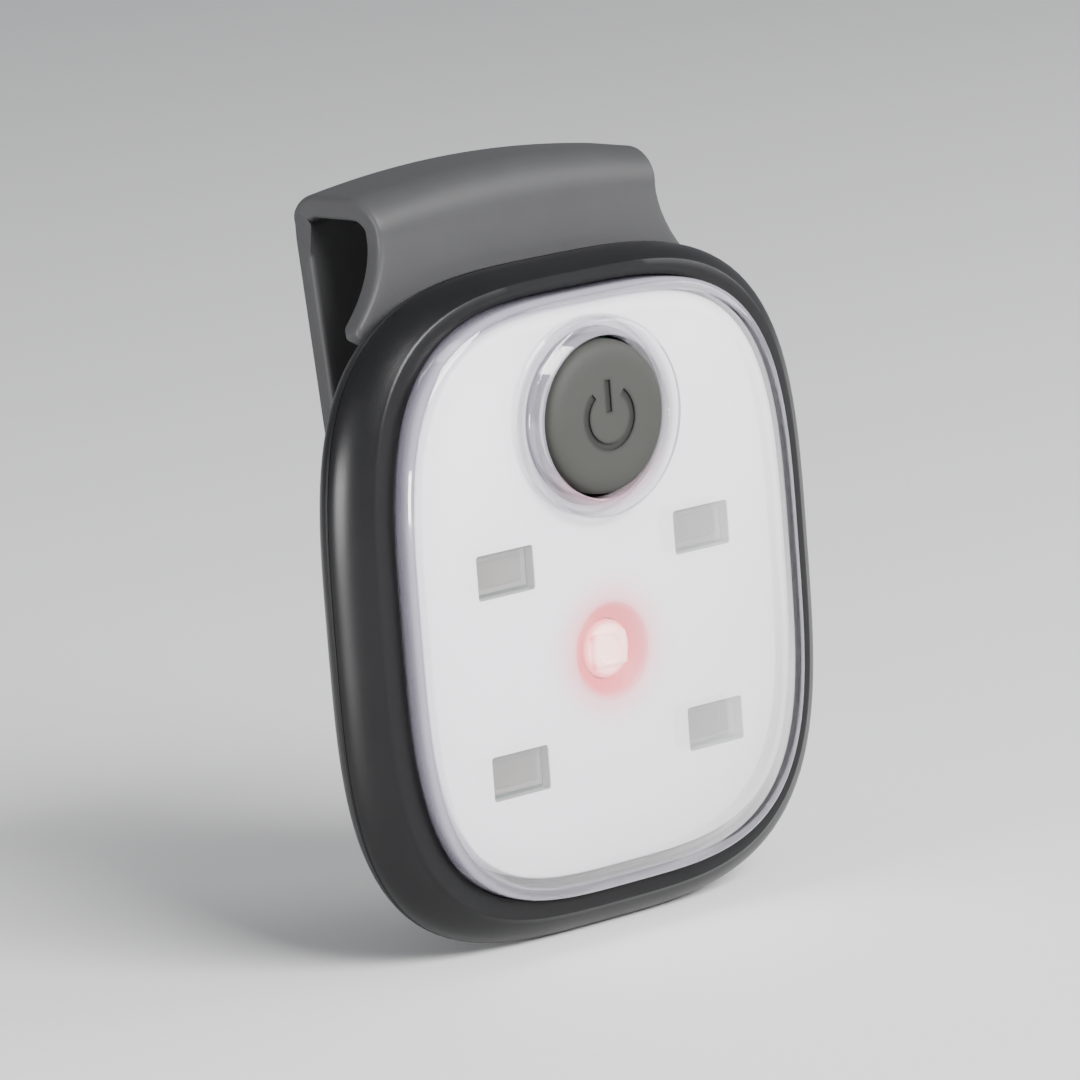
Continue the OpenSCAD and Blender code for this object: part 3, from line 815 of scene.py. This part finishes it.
def ease(share):
    """0 to 1, starting and stopping gently."""
    share = min(1, max(0, share))
    return share * share * (3 - 2 * share)


def neck_half(height):
    """The strip's half-width in front, narrowest at the waist and flared into the head."""
    if height > 35:
        return WAIST + 0.02 * (height - 35) ** 2
    flare = WAIST + 0.073 * (35 - height) ** 2
    short = max(0, NECK_FOOT + FOOT_ROUND - height)
    reach = (1 - ((max(height, 28) - head_rise) / (head_z - 0.2)) ** HEAD_POWER) ** (1 / HEAD_POWER)
    corner = FOOT_ROUND - math.sqrt(max(0, FOOT_ROUND ** 2 - short ** 2))
    return (min(flare, (head_x - 0.4) * reach) if height < 28 else flare) - corner


def arm_half(height):
    """The arm's half-width, a little narrower downwards and round at the tip."""
    wide = ARM_NARROW + ARM_SPREAD * min(1, max(0, (height + 7) / (FLEX_HEIGHT + 7)))
    short = max(0, tip + ARM_TIP_ROUND - height)
    return wide - ARM_TIP_ROUND + math.sqrt(max(0, ARM_TIP_ROUND ** 2 - short ** 2))


def quarter(middle_y, middle_z, radius, start, end, steps):
    """Points round a bend between two angles in degrees."""
    turns = [math.radians(start + (end - start) * step / steps) for step in range(steps + 1)]
    return [(middle_y + radius * math.cos(turn), middle_z + radius * math.sin(turn)) for turn in turns]


neck_rises = [0, 0.9, 1.8, 2.7, 3.6, 4.5, 5.4, 6.3, 7.2, 8.1, NECK_TOP - NECK_FOOT]
neck_line = [(NECK_MIDDLE + NECK_LEAN * rise, NECK_FOOT + rise) for rise in neck_rises]
neck_end = neck_line[-1][0]
front_bend = quarter(neck_end + FRONT_BEND, roof_middle - FRONT_BEND, FRONT_BEND, 180, 90, 9)
rear_bend = quarter(arm_middle - REAR_BEND, roof_middle - REAR_BEND, REAR_BEND, 90, 0, 9)
arm_line = [(arm_middle, FLEX_HEIGHT + 1.2 - 1.25 * step) for step in range(34)]
tip_line = [(arm_middle, tip + rise) for rise in (ARM_TIP_ROUND, 4.7, 3.5, 2.4, 1.4, 0.6, 0)]
rows = []
for y, z in neck_line + front_bend:
    rows.append((y, z, neck_half(z), ease((z - 33) / (roof_middle - 33))))
for step in range(1, 5):
    y = neck_end + FRONT_BEND + (arm_middle - REAR_BEND - neck_end - FRONT_BEND) * step / 5
    rows.append((y, roof_middle, WAIST + 0.2, 1))
for y, z in rear_bend:
    rows.append((y, z, WAIST + 0.2, ease((z - 35) / (roof_middle - 35))))
for y, z in [spot for spot in arm_line if spot[1] > tip + ARM_TIP_ROUND + 0.5] + tip_line:
    rows.append((y, z, arm_half(z) if z < FLEX_HEIGHT else WAIST + 0.15, ease((z - 35) / (roof_middle - 35))))
clear_selection()
bpy.ops.mesh.primitive_grid_add(x_subdivisions=STRIP_COLUMNS, y_subdivisions=len(rows) - 1, size=2)
strip = bpy.context.object
strip.name = strip.data.name = "clip_strip"
for vertex in strip.data.vertices:
    y, z, half, weight = rows[round((vertex.co.y + 1) / 2 * (len(rows) - 1))]
    across = vertex.co.x
    vertex.co = place(across * half, y, z - ROOF_ARCH * across ** 2 * weight)
apply_modifier(strip, "SOLIDIFY", thickness=STRIP_THICK * MM, offset=0, use_even_offset=True)
for vertex in strip.data.vertices:
    below = place(0, 0, tip + TIP_THINNED).z - vertex.co.z
    if below > 0 and vertex.co.y < place(0, arm_middle, 0).y:
        vertex.co.y += below / TIP_THINNED
bpy.ops.object.mode_set(mode="EDIT")
bpy.ops.mesh.select_all(action="SELECT")
bpy.ops.mesh.normals_make_consistent(inside=False)
bpy.ops.object.mode_set(mode="OBJECT")
round_edges(strip, STRIP_EDGE, 4, 45, clamped=False)
SADDLE = [(-0.06, 4), (-0.01, 5.1), (0.39, 6), (0.76, 6.5), (1.19, 7), (2.04, 8), (2.89, 9), (4.69, 11),
    (6.24, 13)]
carve(strip, loft("saddle", [shell_ring(*spot) for spot in SADDLE], HEAD_POWER, HEAD_POINTS))
smooth(strip, 38)

clip_finish = Finish("charcoal_plastic", Specular_IOR_Level=0.25)
clip_cloud = clip_finish.noise(7, 4, 0.6)
clip_grain = clip_finish.noise(0.2, 2, 0.55)
clip_tone = clip_cloud * 0.6 + clip_grain * 0.4
clip_colour = clip_finish.mix(clip_tone, (0.028, 0.028, 0.029, 1), (0.042, 0.042, 0.0435, 1))
clip_finish.drive("Base Color", clip_colour)
clip_finish.drive("Roughness", 0.5 + (clip_cloud - 0.5) * 0.12 + (clip_grain - 0.5) * 0.1)
clip_finish.grain(clip_grain, 0.008)
clip_finish.paint(strip)
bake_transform(strip)
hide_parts("clip_bridge", "clip_arm")

# ---- Clip tongue ----
# The flat tongue at the strip's root, slid into a slot in the rear shell and held by two screws.
TONGUE_LOW, TONGUE_HIGH = (-11, 7.4, 20.6), (11, 8.7, 29.2)
TONGUE_HOLE = [(1.1, 6), (1.1, 10)]
tongue = bar("clip_tongue", TONGUE_LOW, TONGUE_HIGH)
for side in (-1, 1):
    carve(tongue, turned("screw_hole", TONGUE_HOLE, CLIP_SCREW_Z, side * CLIP_SCREW_X, 32))
round_edges(tongue, 0.2)
smooth(tongue)
clip_finish.paint(tongue)
settle(tongue, "head", "clip_plastic", "clip_bridge")

# ---- Grip pad ----
# A ribbed rubber pad stuck inside the arm near its tip, so the clip holds on smooth webbing.
pad_x, pad_z, pad_rise, pad_front, pad_back = sizes("clip_grip_pad")
PAD_BASE, PAD_BED = 0.48, 0.3
RIB_RISES = (-5.3, -3, -0.7, 1.6)
RIB_HALF, RIB_INSET = 0.5, 1
pad = bar("grip_pad", (-pad_x, pad_back - PAD_BASE, pad_rise - pad_z), (pad_x, pad_back, pad_rise + pad_z))
round_edges(pad, 0.12)
for z in RIB_RISES:
    rib_low = (RIB_INSET - pad_x, pad_front, z - RIB_HALF)
    rib_high = (pad_x - RIB_INSET, pad_back - PAD_BED, z + RIB_HALF)
    rib = bar("rib", rib_low, rib_high)
    round_edges(rib, 0.25, 3)
    carve(pad, rib, "UNION")
smooth(pad)
rubber_finish = moulded("black_rubber", (0.012, 0.012, 0.012), (0.024, 0.024, 0.024), 0.72, 2, 0.1, 0.008)
rubber_finish.paint(pad)
settle(pad, "arm", "seal_rubber", "clip_grip_pad")

# ---- Seals ----
# Four rubber rings: under the lens, round the button, between the housing halves and on the door.
rubber_finish.repaint("lens_gasket", "button_seal", "housing_seal", "door_seal")

# ---- Circuit board and its parts ----
# A small board in green solder mask carries the LEDs and the switch in front, and a driver chip and
# four resistors behind.
board_finish = Finish("green_solder_mask")
board_cloud = board_finish.noise(1.2, 3)
board_weave = board_finish.noise(0.15, 1)
board_colour = board_finish.mix(board_cloud, (0.012, 0.10, 0.045, 1), (0.025, 0.17, 0.08, 1))
board_finish.drive("Base Color", board_colour)
board_finish.drive("Roughness", 0.32 + board_weave * 0.1)
board_finish.grain(board_weave, 0.01)
board_finish.repaint("circuit_board")


def tinned(name, node, body_share, upright):
    """Black epoxy in the middle of a part and tinned metal past body_share of its half-size."""
    finish = Finish(name)
    half_x, half_z, _, _, _ = sizes(node)
    low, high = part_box(node)
    spot = (low + high) / 2
    x, _, z = finish.axes()
    reach = abs(z - spot.z) / (half_z * MM) if upright else abs(x - spot.x) / (half_x * MM)
    metal = reach.fade(body_share - 0.02, body_share + 0.02)
    cloud = finish.noise(0.4, 3)
    epoxy = finish.mix(cloud, (0.014, 0.014, 0.015, 1), (0.024, 0.024, 0.026, 1))
    tin = finish.mix(cloud, (0.45, 0.45, 0.46, 1), (0.65, 0.65, 0.66, 1))
    finish.drive("Base Color", finish.mix(metal, epoxy, tin))
    finish.drive("Metallic", metal)
    finish.drive("Roughness", 0.5 - metal * 0.2)
    finish.repaint(node)


tinned("epoxy_chip", "control_chip", 0.72, False)
tinned("film_resistor", "chip_resistors", 0.55, True)
switch_finish = moulded("switch_nylon", (0.03, 0.03, 0.032), (0.05, 0.05, 0.053), 0.5, 1, 0.1, 0.004)
switch_finish.repaint("tact_switch")
plunger_finish = moulded("plunger_nylon", (0.6, 0.6, 0.6), (0.72, 0.72, 0.72), 0.45, 1, 0.1, 0.004)
plunger_finish.repaint("switch_plunger")

# ---- Batteries, holder and contacts ----
# Two coin cells in a round plastic holder behind the board. Sprung, nickel-plated brass strips
# touch the rear cell's case and the front cell's face.
holder_finish = moulded("holder_nylon", (0.012, 0.012, 0.013), (0.022, 0.022, 0.024), 0.5, 4, 0.2, 0.005)
holder_finish.repaint("battery_holder")
cell_finish = Finish("bright_nickel_steel", Metallic=1.0)
cell_cloud = cell_finish.noise(3, 4)
cell_rings = cell_finish.add("ShaderNodeTexNoise", {"noise_dimensions": "1D"},
    {"W": distance_from(cell_finish, 0, door_rise), "Scale": 6, "Detail": 3})
cell_colour = cell_finish.mix(cell_cloud, (0.55, 0.55, 0.57, 1), (0.72, 0.72, 0.74, 1))
cell_finish.drive("Base Color", cell_colour)
cell_finish.drive("Roughness", 0.18 + cell_rings * 0.2)
cell_finish.grain(cell_rings, 0.004)
cell_finish.repaint("coin_cell_front", "coin_cell_rear")
contact_finish = Finish("nickel_plated_brass", Metallic=1.0)
contact_cloud = contact_finish.noise(0.8, 3)
contact_colour = contact_finish.mix(contact_cloud, (0.62, 0.56, 0.42, 1), (0.75, 0.70, 0.56, 1))
contact_finish.drive("Base Color", contact_colour)
contact_finish.drive("Roughness", 0.25 + contact_cloud * 0.15)
contact_finish.repaint("contact_positive", "contact_negative")

# ---- Clip screws ----
# Two small countersunk steel screws hold the clip's tongue in the rear shell, out of sight.
screw_finish.repaint("clip_screws")
